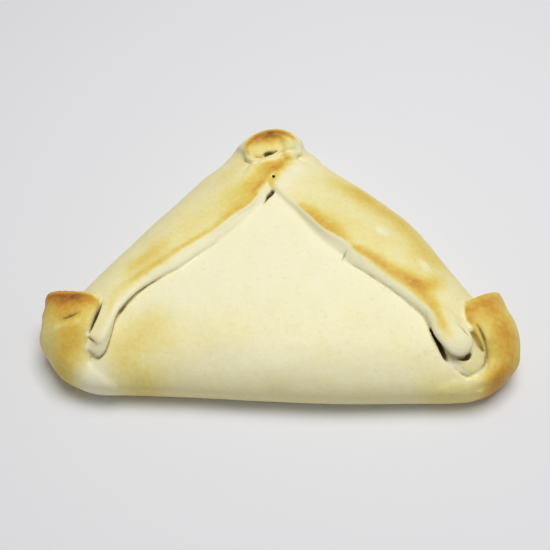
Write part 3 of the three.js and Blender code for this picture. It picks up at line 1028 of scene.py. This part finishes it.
class Graph:
    """The nodes of one material, added by short calls."""

    def __init__(self, name):
        self.material = bpy.data.materials.new(name)
        self.material.use_nodes = True
        self.tree = self.material.node_tree
        self.shader = self.tree.nodes["Principled BSDF"]

    def feed(self, socket, value):
        if isinstance(value, bpy.types.NodeSocket):
            self.tree.links.new(value, socket)
        else:
            socket.default_value = value

    def attribute(self, name):
        node = self.tree.nodes.new("ShaderNodeAttribute")
        node.attribute_name = name
        return node.outputs["Fac"]

    def noise(self, wavelength, detail):
        place = self.tree.nodes.new("ShaderNodeTexCoord")
        node = self.tree.nodes.new("ShaderNodeTexNoise")
        node.inputs["Scale"].default_value = 1 / (wavelength * MM)
        node.inputs["Detail"].default_value = detail
        self.tree.links.new(place.outputs["Object"], node.inputs["Vector"])
        return node.outputs["Fac"]

    def spread(self, value, low, high):
        """A noise value spread from low to high."""
        node = self.tree.nodes.new("ShaderNodeMapRange")
        self.feed(node.inputs["Value"], value)
        node.inputs["From Min"].default_value = NOISE_RANGE[0]
        node.inputs["From Max"].default_value = NOISE_RANGE[1]
        node.inputs["To Min"].default_value = low
        node.inputs["To Max"].default_value = high
        return node.outputs["Result"]

    def math(self, operation, one, other):
        node = self.tree.nodes.new("ShaderNodeMath")
        node.operation = operation
        self.feed(node.inputs[0], one)
        self.feed(node.inputs[1], other)
        return node.outputs[0]

    def ramp(self, value, stops):
        node = self.tree.nodes.new("ShaderNodeValToRGB")
        elements = node.color_ramp.elements
        elements.remove(elements[1])
        for position, colour in stops[1:]:
            elements.new(position).color = linear(colour)
        elements[0].color = linear(stops[0][1])
        self.feed(node.inputs["Fac"], value)
        return node.outputs["Color"]

    def mix(self, factor, one, other):
        node = self.tree.nodes.new("ShaderNodeMix")
        node.data_type = "RGBA"
        self.feed(node.inputs["Factor"], factor)
        self.feed(node.inputs["A"], one)
        self.feed(node.inputs["B"], other)
        return node.outputs["Result"]

    def bump(self, height, distance, strength, normal=None):
        node = self.tree.nodes.new("ShaderNodeBump")
        self.feed(node.inputs["Height"], height)
        node.inputs["Distance"].default_value = distance * MM
        node.inputs["Strength"].default_value = strength
        if normal:
            self.feed(node.inputs["Normal"], normal)
        return node.outputs["Normal"]


def browned(graph):
    """The crust's colour by how far it is baked, a little uneven."""
    bake = graph.attribute("bake")
    patches = graph.math("MULTIPLY", graph.spread(graph.noise(*PATCHES), *EITHER_WAY), PATCH_BAKE)
    grain = graph.math("MULTIPLY", graph.spread(graph.noise(*GRAIN), *EITHER_WAY), GRAIN_BAKE)
    strength = graph.math("ADD", RAW_UNEVENNESS, graph.math("MULTIPLY", bake, BAKED_UNEVENNESS))
    uneven = graph.math("MULTIPLY", graph.math("ADD", patches, grain), strength)
    return graph.ramp(graph.math("ADD", bake, uneven), CRUST_COLOURS)


def marked(graph, colour):
    """A colour with specks, lines of painted shade in the creases and painted shade in the gaps and below
    the tongues.
    """
    peaks = graph.math("MAXIMUM", graph.math("SUBTRACT", graph.noise(*SPECKS), SPECK_START), 0)
    colour = graph.mix(graph.math("MULTIPLY", peaks, SPECK_STRENGTH), colour, linear(SPECK_AND_CREASE_SHADE_COLOUR))
    creases = graph.math("MULTIPLY", graph.attribute("crease"), CREASE_SHADE_STRENGTH)
    colour = graph.mix(creases, colour, linear(SPECK_AND_CREASE_SHADE_COLOUR))
    return graph.mix(graph.attribute("depth"), colour, linear(GAP_AND_FOLD_SHADE_COLOUR))


def crust_material():
    """Pale dough that turns yellow, golden and brown where it is baked, with painted shade in its gaps,
    folds and creases and a few painted highlights.
    """
    graph = Graph("crust")
    inputs = graph.shader.inputs
    graph.feed(inputs["Base Color"], marked(graph, browned(graph)))
    graph.feed(inputs["Roughness"], graph.spread(graph.noise(*SHEEN), *ROUGHNESS))
    graph.feed(inputs["Specular IOR Level"], SPECULAR)
    pores = graph.bump(graph.noise(*PORES), PORE_DEPTH, PORE_STRENGTH)
    dimples = graph.bump(graph.noise(*DIMPLES), DIMPLE_DEPTH, DIMPLE_STRENGTH, pores)
    graph.feed(inputs["Normal"], dimples)
    return graph.material


# Plain pale floor, its size in metres
FLOOR_SIZE = 4.0
FLOOR_COLOUR = (0.8, 0.8, 0.82, 1)
FLOOR_ROUGHNESS = 0.9


def floor():
    bpy.ops.mesh.primitive_plane_add(size=FLOOR_SIZE)
    plane = bpy.context.object
    plane.name = "floor"
    material = bpy.data.materials.new("floor")
    material.use_nodes = True
    shader = material.node_tree.nodes["Principled BSDF"]
    shader.inputs["Base Color"].default_value = FLOOR_COLOUR
    shader.inputs["Roughness"].default_value = FLOOR_ROUGHNESS
    plane.data.materials.append(material)
    return plane


# Soft light from above, a little from the right, in watts and metres
WORLD_COLOUR = (1, 1, 1, 1)
WORLD_STRENGTH = 0.24
KEY_POWER = 3.9
KEY_SIZE = 0.4
KEY_PLACE = (0.08, 0.05, 0.7)


def lights():
    world = bpy.data.worlds.new("studio")
    world.use_nodes = True
    background = world.node_tree.nodes["Background"]
    background.inputs["Color"].default_value = WORLD_COLOUR
    background.inputs["Strength"].default_value = WORLD_STRENGTH
    bpy.context.scene.world = world
    data = bpy.data.lights.new("key", "AREA")
    data.energy = KEY_POWER
    data.size = KEY_SIZE
    key = bpy.data.objects.new("key", data)
    key.location = KEY_PLACE
    key.rotation_euler = Vector(KEY_PLACE).to_track_quat("Z", "Y").to_euler()
    bpy.context.scene.collection.objects.link(key)


# The camera looks down on the empanada from the front: degrees and millimetres of the drawing
CAMERA_ELEVATION = 53.0
CAMERA_DISTANCE = 306.0
CAMERA_TARGET = (-1.0, -4.5, 0.0)
LENS = 55.64
SENSOR = 36.0


def camera():
    data = bpy.data.cameras.new("camera")
    data.lens = LENS
    data.sensor_width = SENSOR
    eye = bpy.data.objects.new("camera", data)
    elevation = math.radians(CAMERA_ELEVATION)
    x, y, z = np.subtract(CAMERA_TARGET, (*PLAN_MIDDLE, 0))
    y -= CAMERA_DISTANCE * math.cos(elevation)
    z += CAMERA_DISTANCE * math.sin(elevation)
    eye.location = (x * MM, y * MM, z * MM)
    eye.rotation_euler = (math.pi / 2 - elevation, 0, 0)
    bpy.context.scene.collection.objects.link(eye)
    bpy.context.scene.camera = eye


dough = empanada()
dough.data.materials.append(crust_material())
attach(dough, "root")
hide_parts("empanada")
floor()
lights()
camera()
bpy.context.scene.view_settings.view_transform = "Standard"
